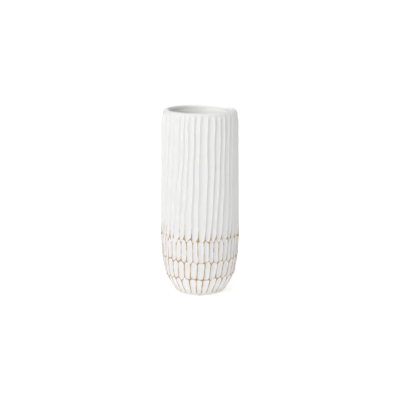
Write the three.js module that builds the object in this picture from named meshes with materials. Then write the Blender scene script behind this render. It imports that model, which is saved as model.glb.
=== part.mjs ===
// A tall carved ceramic vase. One fired clay body is cut all round with long flutes above
// and three bands of short scoops below. A glaze lining covers the inside, and four felt
// pads are stuck under the foot ring.
//
// Millimetres, +Z up. The origin is the centre of the plane that the pads rest on. Angles
// round the vase start at the front, which faces -Y, and grow towards +X.
import * as THREE from "three";

// ---- Driving dimensions ----

const PAD_THICKNESS = 1.5;
const BODY_HEIGHT = 354;
const BELLY_RADIUS = 76.3; // before the strokes are cut
const LIP_RADIUS = 61.7; // at the crest of the lip
const FOOT_RADIUS = 47.2;
const WALL = 8.2;

// Heights on the body, from its own foot.
const BELLY_HEIGHT = 144; // where the bowl turns upright
const SHOULDER_HEIGHT = 318; // where the wall starts to turn in
const FLOOR_HEIGHT = 12; // the inside floor
const RECESS_HEIGHT = 3.2; // the hollow under the foot

const SHOULDER_RADIUS = BELLY_RADIUS - 1.7;
const FOOT_SPLAY = THREE.MathUtils.degToRad(57); // how steeply the bowl leaves the foot
const LIP_THICKNESS = 7;
const RECESS_RADIUS = 33;
const BROW = 3; // the plain strip between the flutes and the lip

const GLAZE_GAP = 0.3;
const GLAZE_THICKNESS = 0.8;
const PAD_RADIUS = 5;

// The bands of gouge strokes. Bottom and top are heights on the body. A stroke runs out of
// the clay over its taper at each end. The first ridge is an angle, the lean is how far the
// band twists over the whole outline, and the sway is how far a ridge wanders to each side
// by itself, all in degrees. The wander is how far a ridge stands off its even place, as a
// share of a stroke's width. The drift is the band's share of the drifts below. The tilt
// puts the deepest line of a stroke to one side of its middle. The rings are the rows of
// points that a band's surface is made of.
const LOWER_SCOOPS = {
  count: 30, bottom: 1.5, top: 39.5, depth: 2.5, bottomTaper: 7, topTaper: 11,
  firstRidge: 2.75, lean: 20, sway: 0.3, wander: 0.1, drift: 0, tilt: 0, rings: 5, seed: 54489,
};
const MIDDLE_SCOOPS = {
  count: 34, bottom: 32, top: 74.5, depth: 2.7, bottomTaper: 12, topTaper: 11,
  firstRidge: -7.47, lean: 20, sway: 0.3, wander: 0.1, drift: 0, tilt: 0, rings: 5, seed: 56716,
};
const UPPER_SCOOPS = {
  count: 43, bottom: 67.5, top: 117, depth: 2.8, bottomTaper: 12, topTaper: 16,
  firstRidge: -6, lean: 8, sway: 0.3, wander: 0.16, drift: 1, tilt: 0, rings: 6, seed: 14528,
};
const FLUTES = {
  count: 39, bottom: 105, top: 350, depth: 4.2, bottomTaper: 30, topTaper: 9,
  firstRidge: -5.35, lean: 9, sway: 0.9, wander: 0.08, drift: 1, tilt: 0.25, rings: 15, seed: 24421,
};
const BANDS = [LOWER_SCOOPS, MIDDLE_SCOOPS, UPPER_SCOOPS, FLUTES]; // from the foot up
// Slow drifts of the carving hand, which neighbouring ridges share: how far in degrees, how
// many waves round the vase and up it, and where the first wave starts.
const DRIFTS = [
  { swing: 1.3, around: 4, up: -0.5, start: 0.23 },
  { swing: 0.7, around: 5, up: 1, start: 0.02 },
  { swing: 0.6, around: 2, up: 2, start: 0.93 },
];
const END_WANDER = 3.5; // how far a stroke starts from its even place
const DEPTH_WANDER = 0.12; // as a share of its depth
const TILT_WANDER = 0.15;
const RIDGE_AT = 0.9; // the ridge's place across a stroke, where 1 is the edge of its cut
const ACROSS = [-RIDGE_AT, -0.32, 0.32]; // the columns of points across each stroke

const INSIDE_SEGMENTS = 40;
const CURVE_POINTS = 6;
const PAD_SEGMENTS = 24;

const outside = outsideOutline();
const outsideLength = outside.getLength();

export default buildVase();

function buildVase() {
  const vase = new THREE.Group();
  const standing = new THREE.Group();
  standing.position.z = PAD_THICKNESS;
  standing.add(named("ceramic_body", carvedBody(), finish("#e9e6e1", 0.78)));
  standing.add(named("interior_glaze", glazeLining(), finish("#f3f2ef", 0.35)));
  vase.add(standing);

  const felt = finish("#b9ab97", 0.95);
  const padCircle = (RECESS_RADIUS + FOOT_RADIUS) / 2;
  ["front", "right", "back", "left"].forEach((side, i) => {
    const pad = named("foot_pad_" + side, feltPad(), felt);
    pad.position.set(...roundTheAxis(padCircle, (i * Math.PI) / 2, 0));
    vase.add(pad);
  });
  return vase;
}

function finish(color, roughness) {
  return new THREE.MeshStandardMaterial({ color, roughness, metalness: 0 });
}

function named(name, geometry, material) {
  const mesh = new THREE.Mesh(geometry, material);
  mesh.name = name;
  return mesh;
}

function roundTheAxis(radius, angle, height) {
  return [radius * Math.sin(angle), -radius * Math.cos(angle), height];
}

// ---- Outlines, as radius and height ----

// The outside, from the edge of the foot to the crest of the lip.
function outsideOutline() {
  const splay = 34; // how far the bowl keeps its first direction
  const line = new THREE.Path();
  line.moveTo(FOOT_RADIUS, 0);
  line.bezierCurveTo(
    FOOT_RADIUS + splay * Math.cos(FOOT_SPLAY),
    splay * Math.sin(FOOT_SPLAY),
    BELLY_RADIUS,
    BELLY_HEIGHT * 0.2,
    BELLY_RADIUS,
    BELLY_HEIGHT,
  );
  line.lineTo(SHOULDER_RADIUS, SHOULDER_HEIGHT);
  line.bezierCurveTo(
    SHOULDER_RADIUS - 0.2,
    BODY_HEIGHT - 8,
    LIP_RADIUS + 9,
    BODY_HEIGHT,
    LIP_RADIUS,
    BODY_HEIGHT,
  );
  return line;
}

// The inside, from under the lip down to the edge of the flat floor. A shift moves it off
// the clay, for the two faces of the glaze.
function insideOutline(shift = 0) {
  const inner = BELLY_RADIUS - WALL - shift;
  const upper = SHOULDER_RADIUS - WALL - shift;
  const throat = LIP_RADIUS - LIP_THICKNESS / 2 - shift;
  const floor = FLOOR_HEIGHT + shift;
  const line = new THREE.Path();
  line.moveTo(throat, BODY_HEIGHT - LIP_THICKNESS);
  line.bezierCurveTo(throat, SHOULDER_HEIGHT + 6, upper, SHOULDER_HEIGHT + 6, upper, SHOULDER_HEIGHT - 28);
  line.lineTo(inner, BELLY_HEIGHT);
  line.bezierCurveTo(inner, BELLY_HEIGHT * 0.42, inner - 6, floor, inner - 31, floor);
  return line;
}

// ---- The clay body, as a stack of rings of points ----

function carvedBody() {
  const rings = [...footRings(), ...BANDS.flatMap(bandRings), ...lipRings(), ...insideRings()];
  return skinOver(rings, [0, 0, RECESS_HEIGHT], [0, 0, FLOOR_HEIGHT]);
}

function footRings() {
  return [
    plainRing(RECESS_RADIUS - 1.5, RECESS_HEIGHT, INSIDE_SEGMENTS),
    plainRing(RECESS_RADIUS, 0, INSIDE_SEGMENTS),
    plainRing(FOOT_RADIUS, 0, LOWER_SCOOPS.count * ACROSS.length),
  ];
}

// The rings of one band. They stand closer together near its two ends, where its strokes
// run out and the next band's begin.
function bandRings(band, index) {
  const below = BANDS[index - 1];
  const above = BANDS[index + 1];
  const low = below ? (below.top + band.bottom) / 2 + 1.5 : band.bottom;
  const high = above ? (band.top + above.bottom) / 2 - 1.5 : band.top + BROW;
  const strokes = BANDS.map(strokesOf);
  const rings = [];
  for (let i = 0; i < band.rings; i += 1) {
    const share = (1 - Math.cos((Math.PI * i) / (band.rings - 1))) / 2;
    const run = THREE.MathUtils.lerp(runAtHeight(low), runAtHeight(high), share);
    rings.push(carvedRing(run, strokes[index], strokes.flat()));
  }
  return rings;
}

// One ring of the carved wall, with its points on the ridges of its own band and between.
function carvedRing(run, own, all) {
  const share = run / outsideLength;
  const spot = outside.getPointAt(share);
  const along = outside.getTangentAt(share);
  return own.flatMap((stroke) =>
    ACROSS.map((place) => {
      const angle = stroke.middle(run) + (stroke.half(run) * place) / RIDGE_AT;
      const cut = Math.max(0, ...all.map((other) => cutBy(other, angle, run)));
      return roundTheAxis(spot.x - along.y * cut, angle, spot.y + along.x * cut);
    }),
  );
}

// How deep a stroke cuts at a place on the wall. Its floor is a parabola across, and it
// rises out of the clay over its tapers.
function cutBy(stroke, angle, run) {
  const turn = Math.atan2(Math.sin(angle - stroke.middle(run)), Math.cos(angle - stroke.middle(run)));
  const place = turn / stroke.half(run);
  const across = place * RIDGE_AT + stroke.tilt * Math.max(0, 1 - place ** 2);
  const low = Math.max(0, 1 - (run - stroke.bottom) / stroke.bottomTaper);
  const high = Math.max(0, 1 - (stroke.top - run) / stroke.topTaper);
  return stroke.depth * (1 - across ** 2 - low ** 2 - high ** 2);
}

function strokesOf(band) {
  const roll = diceFrom(band.seed);
  const swing = () => roll() * 2 - 1;
  const ridges = Array.from({ length: band.count }, () => ({
    shift: swing() * band.wander,
    slowPhase: roll(),
    quickPhase: roll(),
  }));
  return ridges.map((ridge, i) => {
    const left = (run) => ridgeAngle(band, ridges, i, run);
    const right = (run) => ridgeAngle(band, ridges, i + 1, run);
    return {
      bottom: runAtHeight(band.bottom) + swing() * END_WANDER,
      top: runAtHeight(band.top) + (swing() * END_WANDER) / 2,
      depth: band.depth * (1 + swing() * DEPTH_WANDER),
      tilt: band.tilt + swing() * TILT_WANDER,
      bottomTaper: band.bottomTaper,
      topTaper: band.topTaper,
      middle: (run) => (left(run) + right(run)) / 2,
      half: (run) => (right(run) - left(run)) / 2,
    };
  });
}

// The angle of a band's ridge at a distance up the outline.
function ridgeAngle(band, ridges, index, run) {
  const ridge = ridges[index % band.count];
  const share = run / outsideLength;
  const sway = band.sway * (wave(0.8 * share + ridge.slowPhase) + 0.4 * wave(4.4 * share + ridge.quickPhase));
  const drifts = DRIFTS.map(
    ({ swing, around, up, start }) => swing * wave((around * index) / band.count + up * share + start),
  );
  const drift = band.drift * drifts.reduce((sum, part) => sum + part, 0);
  const steps = (360 / band.count) * (index + ridge.shift);
  return THREE.MathUtils.degToRad(band.firstRidge + steps + band.lean * share + sway + drift);
}

// A sine wave over a number of whole turns.
function wave(turns) {
  return Math.sin(2 * Math.PI * turns);
}

// Repeatable dice, so that each hand-made stroke always wanders the same way.
function diceFrom(seed) {
  let state = seed;
  return () => {
    state = (state * 16807) % 2147483647;
    return state / 2147483647;
  };
}

// The distance along the outside outline from the foot to a height on the body.
function runAtHeight(height) {
  let low = 0;
  let high = 1;
  while (high - low > 1e-7) {
    const middle = (low + high) / 2;
    if (outside.getPointAt(middle).y < height) low = middle;
    else high = middle;
  }
  return low * outsideLength;
}

function lipRings() {
  const columns = FLUTES.count * ACROSS.length;
  const throat = insideOutline().getPoint(0);
  const nose = new THREE.Path();
  nose.moveTo(LIP_RADIUS, BODY_HEIGHT);
  nose.quadraticCurveTo(throat.x, BODY_HEIGHT, throat.x, throat.y);
  const start = runAtHeight(FLUTES.top + BROW) / outsideLength;
  const brow = [0.33, 0.66].map((part) => outside.getPointAt(THREE.MathUtils.lerp(start, 1, part)));
  return [...brow, ...nose.getPoints(4)].map((spot) => plainRing(spot.x, spot.y, columns));
}

function insideRings() {
  const spots = insideOutline().getPoints(CURVE_POINTS).slice(1);
  return spots.map((spot) => plainRing(spot.x, spot.y, INSIDE_SEGMENTS));
}

function plainRing(radius, height, count) {
  const start = THREE.MathUtils.degToRad(FLUTES.firstRidge);
  const angles = Array.from({ length: count }, (_, i) => start + (2 * Math.PI * i) / count);
  return angles.map((angle) => roundTheAxis(radius, angle, height));
}

// A closed skin from one middle point, over a stack of rings, to another middle point. The
// rings all run the same way round and may differ in how many points they have.
function skinOver(rings, startPoint, endPoint) {
  const points = [startPoint, ...rings.flat(), endPoint];
  const last = points.length - 1;
  const faces = [];
  let base = 1;
  rings[0].forEach((_, i, ring) => faces.push(0, base + ((i + 1) % ring.length), base + i));
  rings.slice(0, -1).forEach((ring, i) => {
    joinRings(faces, ring, base, rings[i + 1], base + ring.length);
    base += ring.length;
  });
  rings.at(-1).forEach((_, i, ring) => faces.push(last, base + i, base + ((i + 1) % ring.length)));
  const skin = new THREE.BufferGeometry();
  skin.setAttribute("position", new THREE.Float32BufferAttribute(points.flat(), 3));
  skin.setIndex(faces);
  skin.computeVertexNormals();
  return skin;
}

// A strip of triangles between two rings. Each step moves on along the ring that lags.
function joinRings(faces, lower, lowerBase, upper, upperBase) {
  const angleOf = ([x, y]) => Math.atan2(x, -y);
  const turnFrom = (start, angle) => Math.atan2(Math.sin(angle - start), Math.cos(angle - start));
  const origin = angleOf(lower[0]);
  const nearest = (ring) => {
    const gaps = ring.map((point) => Math.abs(turnFrom(origin, angleOf(point))));
    return gaps.indexOf(Math.min(...gaps));
  };
  const upperStart = nearest(upper);
  const stepOf = (ring, start, k) => {
    const a = angleOf(ring[(start + k) % ring.length]);
    const b = angleOf(ring[(start + k + 1) % ring.length]);
    return turnFrom(a, b);
  };
  let low = 0;
  let high = 0;
  let lowAngle = 0;
  let highAngle = turnFrom(origin, angleOf(upper[upperStart]));
  while (low < lower.length || high < upper.length) {
    const a = lowerBase + (low % lower.length);
    const b = upperBase + ((upperStart + high) % upper.length);
    const lowNext = lowAngle + stepOf(lower, 0, low);
    const highNext = highAngle + stepOf(upper, upperStart, high);
    const takeLow = high >= upper.length || (low < lower.length && lowNext <= highNext);
    if (takeLow) {
      low += 1;
      lowAngle = lowNext;
      faces.push(a, lowerBase + (low % lower.length), b);
    } else {
      high += 1;
      highAngle = highNext;
      faces.push(a, upperBase + ((upperStart + high) % upper.length), b);
    }
  }
}

// ---- The glaze lining and the pads ----

function glazeLining() {
  const clayFace = insideOutline(GLAZE_GAP).getPoints(CURVE_POINTS).slice(1);
  const openFace = insideOutline(GLAZE_GAP + GLAZE_THICKNESS).getPoints(CURVE_POINTS).slice(1);
  const clayMiddle = new THREE.Vector2(0, FLOOR_HEIGHT + GLAZE_GAP);
  const openMiddle = new THREE.Vector2(0, FLOOR_HEIGHT + GLAZE_GAP + GLAZE_THICKNESS);
  return turned([clayMiddle, ...clayFace.reverse(), ...openFace, openMiddle], INSIDE_SEGMENTS);
}

function feltPad() {
  const profile = [
    new THREE.Vector2(0, 0),
    new THREE.Vector2(PAD_RADIUS, 0),
    new THREE.Vector2(PAD_RADIUS, PAD_THICKNESS),
    new THREE.Vector2(0, PAD_THICKNESS),
  ];
  return turned(profile, PAD_SEGMENTS);
}

// A solid turned about the Z axis from a profile of radius and height.
function turned(profile, segments) {
  return new THREE.LatheGeometry(profile, segments).rotateX(Math.PI / 2);
}
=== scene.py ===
import math

import bpy
import numpy as np
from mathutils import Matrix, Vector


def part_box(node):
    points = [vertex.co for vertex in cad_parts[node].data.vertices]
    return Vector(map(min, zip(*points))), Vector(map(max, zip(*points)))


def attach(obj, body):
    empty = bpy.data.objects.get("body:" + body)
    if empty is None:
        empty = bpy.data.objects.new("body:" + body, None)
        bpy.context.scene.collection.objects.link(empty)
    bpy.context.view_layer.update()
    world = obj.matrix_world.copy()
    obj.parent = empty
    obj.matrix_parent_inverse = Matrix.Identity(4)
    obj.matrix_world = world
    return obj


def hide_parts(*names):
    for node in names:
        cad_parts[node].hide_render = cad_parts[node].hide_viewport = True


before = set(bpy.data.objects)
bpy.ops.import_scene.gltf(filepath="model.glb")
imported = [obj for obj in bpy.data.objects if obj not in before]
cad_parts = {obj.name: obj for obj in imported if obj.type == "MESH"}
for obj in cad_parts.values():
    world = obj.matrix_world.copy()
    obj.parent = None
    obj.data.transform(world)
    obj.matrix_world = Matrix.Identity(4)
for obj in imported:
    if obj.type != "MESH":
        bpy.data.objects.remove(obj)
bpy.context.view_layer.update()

# ---- Sizes, scaled to the body's height in model.glb ----

body_low, body_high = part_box("ceramic_body")
BODY_BASE = body_low.z
BODY_HEIGHT = body_high.z - body_low.z
MM = BODY_HEIGHT / 354  # one millimetre of the design, which makes the body 354 mm high

BELLY_RADIUS = 76.3 * MM
FOOT_RADIUS = 47.2 * MM
LIP_RADIUS = 61.7 * MM
WALL = 8.2 * MM
BELLY_HEIGHT = 144 * MM
SHOULDER_HEIGHT = 318 * MM
FLOOR_HEIGHT = 12 * MM
RECESS_HEIGHT = 3.2 * MM
SHOULDER_RADIUS = BELLY_RADIUS - 1.7 * MM
FOOT_SPLAY = math.radians(57)
LIP_THICKNESS = 7 * MM
RECESS_RADIUS = 33 * MM
FOOT_ROUNDING = 1.4 * MM
GLAZE_THICKNESS = 1.1 * MM
BROW = 3 * MM  # the plain strip between the flutes and the lip

# ---- The strokes of the gouge ----

# The same strokes as on the CAD body. Heights, tapers and depths are in millimetres of the
# design, and angles in degrees. The wander of the ridges is a share of a stroke's width. The
# tilt puts the deepest line of a stroke to one side of its middle.
LOWER_SCOOPS = dict(
    count=30, bottom=1.5, top=39.5, depth=2.5, bottom_taper=7, top_taper=11,
    first_ridge=2.75, lean=20, sway=0.3, wander=0.10, drift=0, tilt=0, seed=54489,
)
MIDDLE_SCOOPS = dict(
    count=34, bottom=32, top=74.5, depth=2.7, bottom_taper=12, top_taper=11,
    first_ridge=-7.47, lean=20, sway=0.3, wander=0.10, drift=0, tilt=0, seed=56716,
)
UPPER_SCOOPS = dict(
    count=43, bottom=67.5, top=117, depth=2.8, bottom_taper=12, top_taper=16,
    first_ridge=-6.0, lean=8, sway=0.3, wander=0.16, drift=1, tilt=0, seed=14528,
)
FLUTES = dict(
    count=39, bottom=105, top=350, depth=4.2, bottom_taper=30, top_taper=9,
    first_ridge=-5.35, lean=9, sway=0.9, wander=0.08, drift=1, tilt=0.25, seed=24421,
)
# Slow drifts of the carving hand: degrees, waves round and up the vase, and the start of the
# first wave.
DRIFTS = [
    dict(swing=1.3, around=4, up=-0.5, start=0.23),
    dict(swing=0.7, around=5, up=1.0, start=0.02),
    dict(swing=0.6, around=2, up=2.0, start=0.93),
]
END_WANDER = 3.5  # how far a stroke starts from its even place, in millimetres
DEPTH_WANDER = 0.12  # as a share of its depth
TILT_WANDER = 0.15
RIDGE_AT = 0.9  # the ridge's place across a stroke, where 1 is the edge of its cut
RIDGE_SOFTNESS = 0.7 * MM
CORNER_ROUNDING = 2 * MM  # of the coat that is left inside a stroke

# Where the columns of points stand across a stroke, from one ridge to the next. They are
# close together at the ridge, where the wall turns sharply.
HALF_PLACES = [0.965, 0.89, 0.75, 0.54, 0.28]
PLACES = [-1.0] + [-p for p in HALF_PLACES] + [0.0] + HALF_PLACES[::-1]

SCOOP_ROW = 1.1 * MM  # between rows of points, where the strokes are short
FLUTE_ROW = 4.5 * MM  # and where they are long
FLUTE_TIP_ZONE = 40 * MM
FLUTE_TOP_ZONE = 18 * MM
INSIDE_SEGMENTS = 128
FAR_FROM_RIDGE = 9 * MM


def dice_from(seed):
    """Repeatable dice, the same as the CAD part rolls."""
    state = seed

    def roll():
        nonlocal state
        state = (state * 16807) % 2147483647
        return state / 2147483647

    return roll


def bezier(points, count):
    """Points along a cubic Bezier curve."""
    t = np.linspace(0, 1, count)[:, None]
    a, b, c, d = (np.array(p, float) for p in points)
    return (1 - t) ** 3 * a + 3 * (1 - t) ** 2 * t * b + 3 * (1 - t) * t**2 * c + t**3 * d


class Outline:
    """A line of radius and height that can be read at any distance along it."""

    def __init__(self, points):
        self.points = points
        steps = np.hypot(*np.diff(points, axis=0).T)
        self.runs = np.concatenate([[0], np.cumsum(steps)])
        self.length = self.runs[-1]

    def at(self, run):
        return np.array([np.interp(run, self.runs, self.points[:, i]) for i in (0, 1)])

    def outwards(self, run):
        nudge = 0.4 * MM
        ahead = self.at(min(run + nudge, self.length))
        behind = self.at(max(run - nudge, 0))
        along = (ahead - behind) / np.hypot(*(ahead - behind))
        return np.array([along[1], -along[0]])

    def run_at_height(self, height):
        return float(np.interp(height, self.points[:, 1], self.runs))


def outside_outline():
    """From the edge of the foot to the crest of the lip."""
    splay = 34 * MM
    bowl = bezier(
        [
            (FOOT_RADIUS, 0),
            (FOOT_RADIUS + splay * math.cos(FOOT_SPLAY), splay * math.sin(FOOT_SPLAY)),
            (BELLY_RADIUS, BELLY_HEIGHT * 0.2),
            (BELLY_RADIUS, BELLY_HEIGHT),
        ],
        400,
    )
    shoulder = bezier(
        [
            (SHOULDER_RADIUS, SHOULDER_HEIGHT),
            (SHOULDER_RADIUS - 0.2 * MM, BODY_HEIGHT - 8 * MM),
            (LIP_RADIUS + 9 * MM, BODY_HEIGHT),
            (LIP_RADIUS, BODY_HEIGHT),
        ],
        300,
    )
    return Outline(np.vstack([bowl, shoulder]))


def inside_outline(shift=0.0):
    """From under the lip down to the middle of the floor, moved off the clay by a shift."""
    inner = BELLY_RADIUS - WALL - shift
    upper = SHOULDER_RADIUS - WALL - shift
    throat = LIP_RADIUS - LIP_THICKNESS / 2 - shift
    floor = FLOOR_HEIGHT + shift
    shoulder = bezier(
        [
            (throat, BODY_HEIGHT - LIP_THICKNESS),
            (throat, SHOULDER_HEIGHT + 6 * MM),
            (upper, SHOULDER_HEIGHT + 6 * MM),
            (upper, SHOULDER_HEIGHT - 28 * MM),
        ],
        60,
    )
    bowl = bezier(
        [
            (inner, BELLY_HEIGHT),
            (inner, BELLY_HEIGHT * 0.42),
            (inner - 6 * MM, floor),
            (inner - 31 * MM, floor),
        ],
        60,
    )
    return Outline(np.vstack([shoulder, bowl, [(0, floor)]]))


outside = outside_outline()


def wave(turns):
    """A sine wave over a number of whole turns."""
    return math.sin(2 * math.pi * turns)


class Band:
    """One band of strokes: where its ridges run, and how its strokes start and end."""

    def __init__(self, spec):
        self.spec = spec
        roll = dice_from(spec["seed"])

        def swing():
            return roll() * 2 - 1

        self.ridges = [(swing() * spec["wander"], roll(), roll()) for _ in range(spec["count"])]
        low = outside.run_at_height(spec["bottom"] * MM)
        high = outside.run_at_height(spec["top"] * MM)
        rolls = np.array([[swing() for _ in range(4)] for _ in range(spec["count"])]).T
        self.bottoms = low + rolls[0] * END_WANDER * MM
        self.tops = high + rolls[1] * END_WANDER * MM / 2
        self.depths = spec["depth"] * MM * (1 + rolls[2] * DEPTH_WANDER)
        self.tilts = spec["tilt"] + rolls[3] * TILT_WANDER

    def ridge_angles(self, run):
        """The angle of every ridge at a distance up the outline, and the first one again."""
        spec = self.spec
        share = run / outside.length
        angles = []
        for i, (shift, slow, quick) in enumerate(self.ridges):
            sway = spec["sway"] * (wave(0.8 * share + slow) + 0.4 * wave(4.4 * share + quick))
            drift = sum(
                d["swing"] * wave(d["around"] * i / spec["count"] + d["up"] * share + d["start"])
                for d in DRIFTS
            )
            steps = 360 / spec["count"] * (i + shift)
            lean = spec["first_ridge"] + spec["lean"] * share
            angles.append(math.radians(lean + steps + sway + spec["drift"] * drift))
        return np.array(angles + [angles[0] + 2 * math.pi])

    def cuts(self, run, angles):
        """How deep each stroke of this band cuts at each angle: strokes by angles."""
        ridges = self.ridge_angles(run)
        middle = (ridges[:-1] + ridges[1:])[:, None] / 2
        half = (ridges[1:] - ridges[:-1])[:, None] / 2
        turn = (angles[None, :] - middle + math.pi) % (2 * math.pi) - math.pi
        share = turn / half
        across = share * RIDGE_AT + self.tilts[:, None] * np.maximum(0, 1 - share**2)
        low = np.maximum(0, 1 - (run - self.bottoms) / (self.spec["bottom_taper"] * MM))
        high = np.maximum(0, 1 - (self.tops - run) / (self.spec["top_taper"] * MM))
        return self.depths[:, None] * (1 - across**2 - (low**2 + high**2)[:, None])

    def column_angles(self, run):
        """The angles of this band's columns of points, which follow its ridges."""
        ridges = self.ridge_angles(run)
        middle = (ridges[:-1] + ridges[1:]) / 2
        half = (ridges[1:] - ridges[:-1]) / 2
        return (middle[:, None] + half[:, None] * np.array(PLACES)[None, :]).ravel()


bands = [Band(spec) for spec in (LOWER_SCOOPS, MIDDLE_SCOOPS, UPPER_SCOOPS, FLUTES)]


def soft_max(a, b, softness):
    """The larger of two, with the corner where they meet rounded off."""
    blend = np.maximum(softness - np.abs(a - b), 0) / softness
    return np.maximum(a, b) + blend * blend * softness / 4


def three_deepest(run, angles):
    """The deepest cut at each angle, and the next two."""
    cuts = np.vstack([band.cuts(run, angles) for band in bands])
    return np.sort(cuts, axis=0)[:-4:-1]


def carved_depth(run, angles):
    """How far the surface lies under the uncut outline, with softened ridges."""
    best, second, _ = three_deepest(run, angles)
    between = soft_max(best, second, RIDGE_SOFTNESS)
    return soft_max(between, np.zeros_like(best), RIDGE_SOFTNESS)


def ridge_margin(run, angles):
    """Nothing on a ridge, more inside a stroke, and below zero on clay that is uncut. The
    inside of each stroke is rounded off where its ridges meet at a corner."""
    best, second, third = three_deepest(run, angles)
    rival = soft_max(second, third, CORNER_ROUNDING)
    rival = soft_max(rival, np.zeros_like(rival), CORNER_ROUNDING)
    return np.where(best > 0, best - rival, best)


def ridge_distance(run, angles, radius):
    """About how far along the surface the nearest ridge is; below zero on uncut clay."""
    step = 0.15 * MM
    margin = ridge_margin(run, angles)
    up = ridge_margin(run + step, angles) - margin
    along = ridge_margin(run, angles + step / radius) - margin
    slope = np.hypot(up, along) / step
    return margin / np.maximum(slope, 0.05)


# ---- Meshes ----


class Skin:
    """A surface built up ring by ring, with the distance to the nearest ridge kept."""

    def __init__(self):
        self.points = []
        self.distances = []
        self.faces = []
        self.rings = []

    def add_ring(self, radii, angles, heights, distances=None):
        start = len(self.points)
        radii = np.broadcast_to(radii, angles.shape)
        heights = np.broadcast_to(heights, angles.shape)
        self.points.extend(zip(radii * np.sin(angles), -radii * np.cos(angles), heights))
        self.distances.extend(np.full(len(angles), FAR_FROM_RIDGE) if distances is None else distances)
        ring = (start, angles)
        if self.rings:
            self._join(self.rings[-1], ring)
        self.rings.append(ring)

    def close(self, height, first=False):
        """Closes the first or the last ring over a point on the axis."""
        start, angles = self.rings[0 if first else -1]
        middle = len(self.points)
        self.points.append((0, 0, height))
        self.distances.append(FAR_FROM_RIDGE)
        count = len(angles)
        for i in range(count):
            pair = (start + i, start + (i + 1) % count)
            self.faces.append((middle, pair[1], pair[0]) if first else (middle, *pair))

    def _join(self, lower, upper):
        if len(lower[1]) == len(upper[1]):
            self._join_alike(lower, upper)
        else:
            self._join_unlike(lower, upper)

    def _join_alike(self, lower, upper):
        count = len(lower[1])
        for i in range(count):
            j = (i + 1) % count
            a, b = lower[0] + i, lower[0] + j
            c, d = upper[0] + j, upper[0] + i
            self.faces.append((a, b, c, d))

    def _join_unlike(self, lower, upper):
        """Triangles between rings of different counts: each step moves on the ring that lags."""
        whole = 2 * math.pi
        gaps = (upper[1] - lower[1][0] + math.pi) % whole - math.pi
        shift = int(np.argmin(np.abs(gaps)))
        low = np.append(lower[1], lower[1][0] + whole) - lower[1][0]
        turned = np.roll(upper[1], -shift)
        turned = np.where(turned < turned[0], turned + whole, turned)
        high = np.append(turned, turned[0] + whole) - turned[0] + gaps[shift]
        i = j = 0
        while i < len(low) - 1 or j < len(high) - 1:
            a = lower[0] + i % (len(low) - 1)
            b = upper[0] + (shift + j) % (len(high) - 1)
            if j == len(high) - 1 or (i < len(low) - 1 and low[i + 1] <= high[j + 1]):
                i += 1
                self.faces.append((a, lower[0] + i % (len(low) - 1), b))
            else:
                j += 1
                self.faces.append((a, upper[0] + (shift + j) % (len(high) - 1), b))

    def build(self, name, lift=0.0):
        mesh = bpy.data.meshes.new(name)
        points = [(x, y, z + lift) for x, y, z in self.points]
        mesh.from_pydata(points, [], self.faces)
        distance = mesh.attributes.new("ridge_distance", "FLOAT", "POINT")
        distance.data.foreach_set("value", np.array(self.distances, np.float32) / MM)
        mesh.polygons.foreach_set("use_smooth", [True] * len(mesh.polygons))
        mesh.update()
        piece = bpy.data.objects.new(name, mesh)
        bpy.context.scene.collection.objects.link(piece)
        return piece


def even_runs(start, end, step):
    count = max(2, round((end - start) / step) + 1)
    return list(np.linspace(start, end, count))


def even_angles(count):
    return np.linspace(0, 2 * math.pi, count, endpoint=False)


def carved_rows(skin, band, runs):
    for run in runs:
        angles = band.column_angles(run)
        depth = carved_depth(run, angles)
        radius, height = outside.at(run)
        distance = ridge_distance(run, angles, radius)
        out_radius, out_height = outside.outwards(run)
        skin.add_ring(radius - out_radius * depth, angles, height - out_height * depth, distance)


def meeting_run(lower, upper):
    """Where the zone of one band's columns ends and the next one's begins."""
    return outside.run_at_height((lower.spec["top"] + upper.spec["bottom"]) / 2 * MM)


def ceramic_body():
    skin = Skin()
    add_underside(skin)
    add_carved_wall(skin)
    add_lip(skin)
    add_inside(skin)
    skin.close(FLOOR_HEIGHT)
    skin.close(RECESS_HEIGHT, first=True)
    return skin.build("ceramic_body_carved", BODY_BASE)


def add_underside(skin):
    """The recess, the flat of the foot ring and the round outer edge of the foot."""
    plain = even_angles(INSIDE_SEGMENTS)
    skin.add_ring(RECESS_RADIUS * 0.55, plain, RECESS_HEIGHT)
    skin.add_ring(RECESS_RADIUS - 2.4 * MM, plain, RECESS_HEIGHT)
    skin.add_ring(RECESS_RADIUS - 1.0 * MM, plain, RECESS_HEIGHT * 0.7)
    skin.add_ring(RECESS_RADIUS, plain, 0.5 * MM)
    skin.add_ring(RECESS_RADIUS + 0.8 * MM, plain, 0.0)
    angles = bands[0].column_angles(0.0)
    uncut = np.full(len(angles), -MM)
    for part in (0.0, 0.35, 0.7):
        turn = part * math.pi / 2
        radius = FOOT_RADIUS - FOOT_ROUNDING * (1 - math.sin(turn)) - 0.2 * MM
        skin.add_ring(radius, angles, FOOT_ROUNDING * (1 - math.cos(turn)), uncut)


def add_carved_wall(skin):
    """The rows of points of each band, up to the crest of the lip."""
    lower, middle, upper, flutes = bands
    ends = [
        FOOT_ROUNDING * 1.2,
        meeting_run(lower, middle),
        meeting_run(middle, upper),
        meeting_run(upper, flutes),
    ]
    gap = SCOOP_ROW / 2
    for i, band in enumerate((lower, middle, upper)):
        carved_rows(skin, band, even_runs(ends[i] + gap, ends[i + 1] - gap, SCOOP_ROW))
    top = outside.run_at_height(FLUTES["top"] * MM + BROW)
    tip_end = ends[3] + FLUTE_TIP_ZONE
    top_start = top - FLUTE_TOP_ZONE
    runs = even_runs(ends[3] + gap, tip_end, SCOOP_ROW)
    runs += even_runs(tip_end, top_start, FLUTE_ROW)[1:]
    runs += even_runs(top_start, top, 1.2 * MM)[1:]
    runs += even_runs(top, outside.length, 1.3 * MM)[1:]
    carved_rows(skin, flutes, runs)


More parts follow.
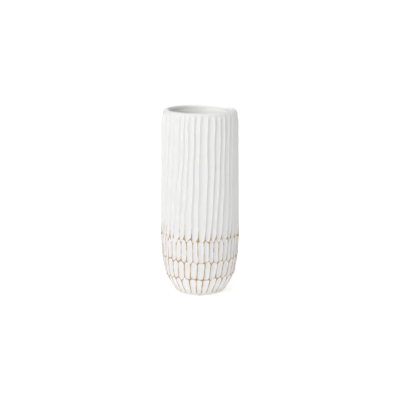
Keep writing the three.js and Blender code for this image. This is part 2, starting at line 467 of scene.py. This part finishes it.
def add_lip(skin):
    """The round inner edge, from the crest of the lip down to the throat."""
    throat_radius, throat_height = inside_outline().at(0.0)
    angles = bands[-1].column_angles(outside.length)
    for part in np.linspace(0, 1, 7)[1:]:
        turn = part * math.pi / 2
        radius = LIP_RADIUS - (LIP_RADIUS - throat_radius) * math.sin(turn)
        height = throat_height + (BODY_HEIGHT - throat_height) * math.cos(turn)
        skin.add_ring(radius, angles, height)


def add_inside(skin):
    inside = inside_outline()
    for run in even_runs(0, inside.length - 40 * MM, 9 * MM)[1:]:
        radius, height = inside.at(run)
        skin.add_ring(radius, even_angles(INSIDE_SEGMENTS), height)


def interior_glaze():
    """The lining. It lies against the clay, and feathers out to nothing under the lip."""
    skin = Skin()
    angles = even_angles(INSIDE_SEGMENTS)
    clay_face = inside_outline(-0.15 * MM)
    open_face = inside_outline(GLAZE_THICKNESS)
    end = 3 * MM
    feather = 14 * MM
    for run in even_runs(0.5 * MM, clay_face.length - end, 6 * MM)[::-1]:
        radius, height = clay_face.at(run)
        skin.add_ring(radius, angles, height)
    for run in even_runs(2.0 * MM, open_face.length - end, 2.5 * MM):
        share = min(1, run / feather)
        radius, height = open_face.at(run)
        bare_radius, bare_height = clay_face.at(run)
        wander = 0.15 * MM * np.sin(3 * angles + run / (30 * MM)) * min(1, radius / (40 * MM))
        skin.add_ring(
            bare_radius + (radius + wander - bare_radius) * share - 0.05 * MM,
            angles,
            bare_height + (height - bare_height) * share,
        )
    skin.close(FLOOR_HEIGHT - 0.15 * MM, first=True)
    skin.close(FLOOR_HEIGHT + GLAZE_THICKNESS)
    return skin.build("interior_glaze_lining", BODY_BASE)


def felt_pad(side):
    """A pressed disc with a soft, slightly uneven edge."""
    low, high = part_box("foot_pad_" + side)
    centre = (low + high) / 2
    radius = (high.x - low.x) / 2
    thickness = high.z - low.z
    skin = Skin()
    angles = even_angles(64)
    phase = len(side)
    uneven = 1 + 0.012 * np.sin(5 * angles + phase) + 0.008 * np.sin(11 * angles + 2 * phase)
    edge = [(0.93, 0.0), (0.985, 0.12), (0.995, 0.5), (0.985, 0.88), (0.95, 1.0)]
    for out, up in [(0.45, 0.0), *edge, (0.45, 1.0)]:
        skin.add_ring(radius * out * np.minimum(uneven, 1.0), angles, thickness * up)
    skin.close(0.0, first=True)
    skin.close(thickness)
    piece = skin.build("felt_pad_" + side, low.z)
    piece.location.x = centre.x
    piece.location.y = centre.y
    return piece


# ---- Materials ----


class Nodes:
    """A short way to build a node material."""

    def __init__(self, name):
        self.material = bpy.data.materials.new(name)
        self.material.use_nodes = True
        self.tree = self.material.node_tree
        self.shader = self.tree.nodes["Principled BSDF"]

    def add(self, kind, **settings):
        node = self.tree.nodes.new(kind)
        for key, value in settings.items():
            setattr(node, key, value)
        return node

    def link(self, source, target):
        self.tree.links.new(source, target)

    def place(self, stretch=(1, 1, 1)):
        """The point on the object, in metres, with each axis stretched."""
        coordinates = self.add("ShaderNodeTexCoord")
        mapping = self.add("ShaderNodeMapping")
        mapping.inputs["Scale"].default_value = stretch
        self.link(coordinates.outputs["Object"], mapping.inputs["Vector"])
        return mapping.outputs["Vector"]

    def noise(self, size, detail=3.0, stretch=(1, 1, 1), roughness=0.55):
        """Noise from 0 to 1 with features of a size in metres."""
        node = self.add("ShaderNodeTexNoise")
        node.inputs["Scale"].default_value = 1 / size
        node.inputs["Detail"].default_value = detail
        node.inputs["Roughness"].default_value = roughness
        self.link(self.place(stretch), node.inputs["Vector"])
        return node.outputs["Fac"]

    def math(self, operation, a, b=None, c=None, clamp=False):
        node = self.add("ShaderNodeMath", operation=operation, use_clamp=clamp)
        for socket, value in zip(node.inputs, (a, b, c)):
            if value is None:
                continue
            if isinstance(value, (int, float)):
                socket.default_value = value
            else:
                self.link(value, socket)
        return node.outputs["Value"]

    def spread(self, value, low, high, to_low=0.0, to_high=1.0, smooth=False):
        node = self.add("ShaderNodeMapRange", interpolation_type="SMOOTHSTEP" if smooth else "LINEAR")
        self.link(value, node.inputs["Value"])
        ends = {"From Min": low, "From Max": high, "To Min": to_low, "To Max": to_high}
        for key, number in ends.items():
            if isinstance(number, (int, float)):
                node.inputs[key].default_value = number
            else:
                self.link(number, node.inputs[key])
        return node.outputs["Result"]

    def mix(self, share, a, b):
        node = self.add("ShaderNodeMix", data_type="RGBA")
        colours = [s for s in node.inputs if s.type == "RGBA"]
        self.link(share, node.inputs["Factor"])
        for socket, value in zip(colours, (a, b)):
            if isinstance(value, tuple):
                socket.default_value = (*value, 1)
            else:
                self.link(value, socket)
        return next(s for s in node.outputs if s.type == "RGBA")

    def attribute(self, name):
        return self.add("ShaderNodeAttribute", attribute_name=name).outputs["Fac"]

    def bump(self, height, distance, strength=1.0, normal=None):
        node = self.add("ShaderNodeBump")
        node.inputs["Distance"].default_value = distance
        node.inputs["Strength"].default_value = strength
        self.link(height, node.inputs["Height"])
        if normal is not None:
            self.link(normal, node.inputs["Normal"])
        return node.outputs["Normal"]


def coated_clay():
    """Matt white coat over tan clay. The coat is worn off the ridges of the lower bands."""
    n = Nodes("coated_clay")
    distance = n.attribute("ridge_distance")
    separate = n.add("ShaderNodeSeparateXYZ")
    n.link(n.place(), separate.inputs["Vector"])
    height = separate.outputs["Z"]

    # How far from a ridge the clay shows, in millimetres: patchy, more on the bowl, and with
    # a ragged edge.
    patchy = n.noise(13 * MM, 2.0)
    ragged = n.noise(1.3 * MM, 3.0)
    reach = n.spread(patchy, 0.34, 0.66, -0.20, 0.50)
    on_bowl = n.spread(height, BODY_BASE + 60 * MM, BODY_BASE + 110 * MM, 0.38, 0.0)
    reach = n.math("ADD", reach, on_bowl)
    reach = n.math("ADD", reach, n.spread(ragged, 0.3, 0.7, -0.15, 0.15))
    edge = n.math("SUBTRACT", distance, reach)
    worn = n.spread(edge, -0.15, 0.20, 1.0, 0.0, smooth=True)
    thin = n.spread(edge, 0.0, 1.0, 1.0, 0.0, smooth=True)

    # The wear ends a little way up the flutes, higher on some ridges than on others.
    lifted = n.math("ADD", height, n.spread(n.noise(9 * MM, 2.0), 0.3, 0.7, -9 * MM, 9 * MM))
    reached = n.spread(lifted, BODY_BASE + 122 * MM, BODY_BASE + 149 * MM, 1.0, 0.0, smooth=True)
    # Under the lowest scoops only the edge of the foot is bare.
    foot_edge = n.math("ADD", height, n.spread(ragged, 0.3, 0.7, -1.2 * MM, 1.2 * MM))
    above_foot = n.spread(foot_edge, BODY_BASE + 3 * MM, BODY_BASE + 6 * MM, 0.0, 1.0)
    rubbed_foot = n.spread(foot_edge, BODY_BASE - 0.3 * MM, BODY_BASE + 0.7 * MM, 1.0, 0.0)
    reached = n.math("MULTIPLY", reached, above_foot)
    bare = n.math("MAXIMUM", n.math("MULTIPLY", worn, reached), rubbed_foot)
    thin = n.math("MULTIPLY", thin, reached)

    cloudy = n.noise(30 * MM, 3.0)
    white = n.mix(cloudy, (0.83, 0.828, 0.823), (0.88, 0.879, 0.876))
    specks = n.spread(n.noise(0.9 * MM, 1.0), 0.72, 0.80)
    white = n.mix(n.math("MULTIPLY", specks, 0.35), white, (0.62, 0.56, 0.48))
    white = n.mix(n.math("MULTIPLY", thin, 0.30), white, (0.76, 0.66, 0.52))
    clay = n.mix(n.noise(5 * MM, 4.0), (0.42, 0.255, 0.11), (0.56, 0.38, 0.20))
    grog = n.spread(n.noise(0.7 * MM, 1.0), 0.66, 0.76)
    clay = n.mix(n.math("MULTIPLY", grog, 0.5), clay, (0.70, 0.56, 0.40))
    n.link(n.mix(bare, white, clay), n.shader.inputs["Base Color"])

    dull = n.spread(n.noise(8 * MM, 3.0), 0.3, 0.7, 0.60, 0.74)
    n.link(n.math("ADD", dull, n.math("MULTIPLY", bare, 0.18)), n.shader.inputs["Roughness"])

    grain = n.noise(0.8 * MM, 4.0)
    drag = n.noise(1.5 * MM, 2.0, stretch=(1, 1, 0.06))
    relief = n.math("ADD", n.math("MULTIPLY", grain, 0.5), drag)
    relief = n.math("SUBTRACT", relief, n.math("MULTIPLY", bare, 1.2))
    n.link(n.bump(relief, 0.12 * MM), n.shader.inputs["Normal"])
    n.shader.inputs["Specular IOR Level"].default_value = 0.35
    return n.material


def lining_glaze():
    """Satin white glaze, a little uneven, with a few pinholes."""
    n = Nodes("lining_glaze")
    cloudy = n.noise(40 * MM, 3.0)
    colour = n.mix(cloudy, (0.88, 0.876, 0.866), (0.92, 0.917, 0.908))
    pinholes = n.spread(n.noise(1.1 * MM, 0.0), 0.76, 0.82)
    colour = n.mix(n.math("MULTIPLY", pinholes, 0.4), colour, (0.55, 0.50, 0.42))
    n.link(colour, n.shader.inputs["Base Color"])
    n.link(n.spread(n.noise(12 * MM, 3.0), 0.3, 0.7, 0.34, 0.48), n.shader.inputs["Roughness"])
    relief = n.math("SUBTRACT", n.noise(7 * MM, 2.0), n.math("MULTIPLY", pinholes, 0.3))
    n.link(n.bump(relief, 0.25 * MM), n.shader.inputs["Normal"])
    return n.material


def pressed_felt():
    """Beige wool felt with matted fibres."""
    n = Nodes("pressed_felt")
    fibres = n.noise(0.35 * MM, 5.0, stretch=(1, 0.35, 1), roughness=0.7)
    mottle = n.noise(2.5 * MM, 3.0)
    wool = n.mix(mottle, (0.34, 0.28, 0.21), (0.50, 0.43, 0.34))
    wool = n.mix(n.math("MULTIPLY", fibres, 0.6), wool, (0.62, 0.55, 0.45))
    n.link(wool, n.shader.inputs["Base Color"])
    n.link(n.spread(fibres, 0.3, 0.7, 0.86, 1.0), n.shader.inputs["Roughness"])
    n.link(n.bump(fibres, 0.2 * MM), n.shader.inputs["Normal"])
    n.shader.inputs["Sheen Weight"].default_value = 0.4
    return n.material


def pale_floor():
    """A white shooting table that is lit from below, so that it shows hardly any shadow."""
    n = Nodes("pale_floor")
    white = n.mix(n.noise(0.3, 2.0), (0.74, 0.74, 0.74), (0.76, 0.76, 0.76))
    n.link(white, n.shader.inputs["Base Color"])
    n.shader.inputs["Roughness"].default_value = 0.9
    n.shader.inputs["Specular IOR Level"].default_value = 0.1
    n.shader.inputs["Emission Color"].default_value = (1, 1, 1, 1)
    n.shader.inputs["Emission Strength"].default_value = 0.52
    return n.material


# ---- The pieces ----


def dress(piece, material, node):
    piece.data.materials.append(material)
    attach(piece, "root")
    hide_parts(node)


dress(ceramic_body(), coated_clay(), "ceramic_body")
dress(interior_glaze(), lining_glaze(), "interior_glaze")
felt = pressed_felt()
for side in ("front", "right", "back", "left"):
    dress(felt_pad(side), felt, "foot_pad_" + side)

# ---- The studio ----


def floor():
    half = 30.0
    mesh = bpy.data.meshes.new("floor")
    corners = [(-half, -half, 0), (half, -half, 0), (half, half, 0), (-half, half, 0)]
    mesh.from_pydata(corners, [], [(0, 1, 2, 3)])
    ground = bpy.data.objects.new("floor", mesh)
    ground.data.materials.append(pale_floor())
    bpy.context.scene.collection.objects.link(ground)


def soft_light(name, azimuth, elevation, distance, size, power):
    """A square panel that looks at the middle of the vase. Azimuth 0 is the camera's side."""
    lamp = bpy.data.lights.new(name, "AREA")
    lamp.shape = "SQUARE"
    lamp.size = size
    lamp.energy = power
    panel = bpy.data.objects.new(name, lamp)
    a, e = math.radians(azimuth), math.radians(elevation)
    away = (math.sin(a) * math.cos(e), -math.cos(a) * math.cos(e), math.sin(e))
    panel.location = [distance * part for part in away]
    panel.location.z += BODY_HEIGHT / 2
    panel.rotation_euler = (math.pi / 2 - e, 0, a)
    bpy.context.scene.collection.objects.link(panel)


def mouth_light(azimuth, elevation, distance, power):
    """A narrow soft spot that reaches over the near lip, to the inside of the far wall."""
    a, e = math.radians(azimuth), math.radians(elevation)
    radius = LIP_RADIUS - LIP_THICKNESS
    target = (-radius * math.sin(a), radius * math.cos(a), BODY_BASE + BODY_HEIGHT - 12 * MM)
    away = (math.sin(a) * math.cos(e), -math.cos(a) * math.cos(e), math.sin(e))
    lamp = bpy.data.lights.new("mouth_light", "SPOT")
    lamp.energy = power
    lamp.spot_size = 2 * math.atan(85 * MM / distance)
    lamp.spot_blend = 1.0
    lamp.shadow_soft_size = 0.03
    spot = bpy.data.objects.new("mouth_light", lamp)
    spot.location = [start + distance * part for start, part in zip(target, away)]
    spot.rotation_euler = (math.pi / 2 - e, 0, a)
    bpy.context.scene.collection.objects.link(spot)


def world_light(around, overhead):
    """An even soft light from all round, and a brighter one from straight overhead."""
    world = bpy.data.worlds.new("studio")
    world.use_nodes = True
    tree = world.node_tree
    background = tree.nodes["Background"]
    background.inputs["Color"].default_value = (1, 1, 1, 1)
    direction = tree.nodes.new("ShaderNodeTexCoord")
    separate = tree.nodes.new("ShaderNodeSeparateXYZ")
    brighter = tree.nodes.new("ShaderNodeMapRange")
    brighter.interpolation_type = "SMOOTHSTEP"
    brighter.inputs["From Min"].default_value = math.sin(math.radians(45))
    brighter.inputs["From Max"].default_value = math.sin(math.radians(65))
    brighter.inputs["To Min"].default_value = around
    brighter.inputs["To Max"].default_value = overhead
    tree.links.new(direction.outputs["Generated"], separate.inputs["Vector"])
    tree.links.new(separate.outputs["Z"], brighter.inputs["Value"])
    tree.links.new(brighter.outputs["Result"], background.inputs["Strength"])
    bpy.context.scene.world = world


def camera():
    """Looking a little down on the vase from the front, with a long lens."""
    data = bpy.data.cameras.new("camera")
    data.sensor_width = 36
    data.lens = 109.5
    eye = bpy.data.objects.new("camera", data)
    eye.location = (0, -2.2925, 0.6806)
    eye.rotation_euler = (math.radians(90 - 12.36), 0, 0)
    bpy.context.scene.collection.objects.link(eye)
    bpy.context.scene.camera = eye


floor()
world_light(around=0.21, overhead=1.6)
soft_light("key", azimuth=-35, elevation=30, distance=2.2, size=1.0, power=14.3)
soft_light("side_fill", azimuth=-85, elevation=30, distance=2.2, size=1.0, power=0.8)
mouth_light(azimuth=-38, elevation=45, distance=2.0, power=68)
camera()
bpy.context.scene.view_settings.view_transform = "Standard"
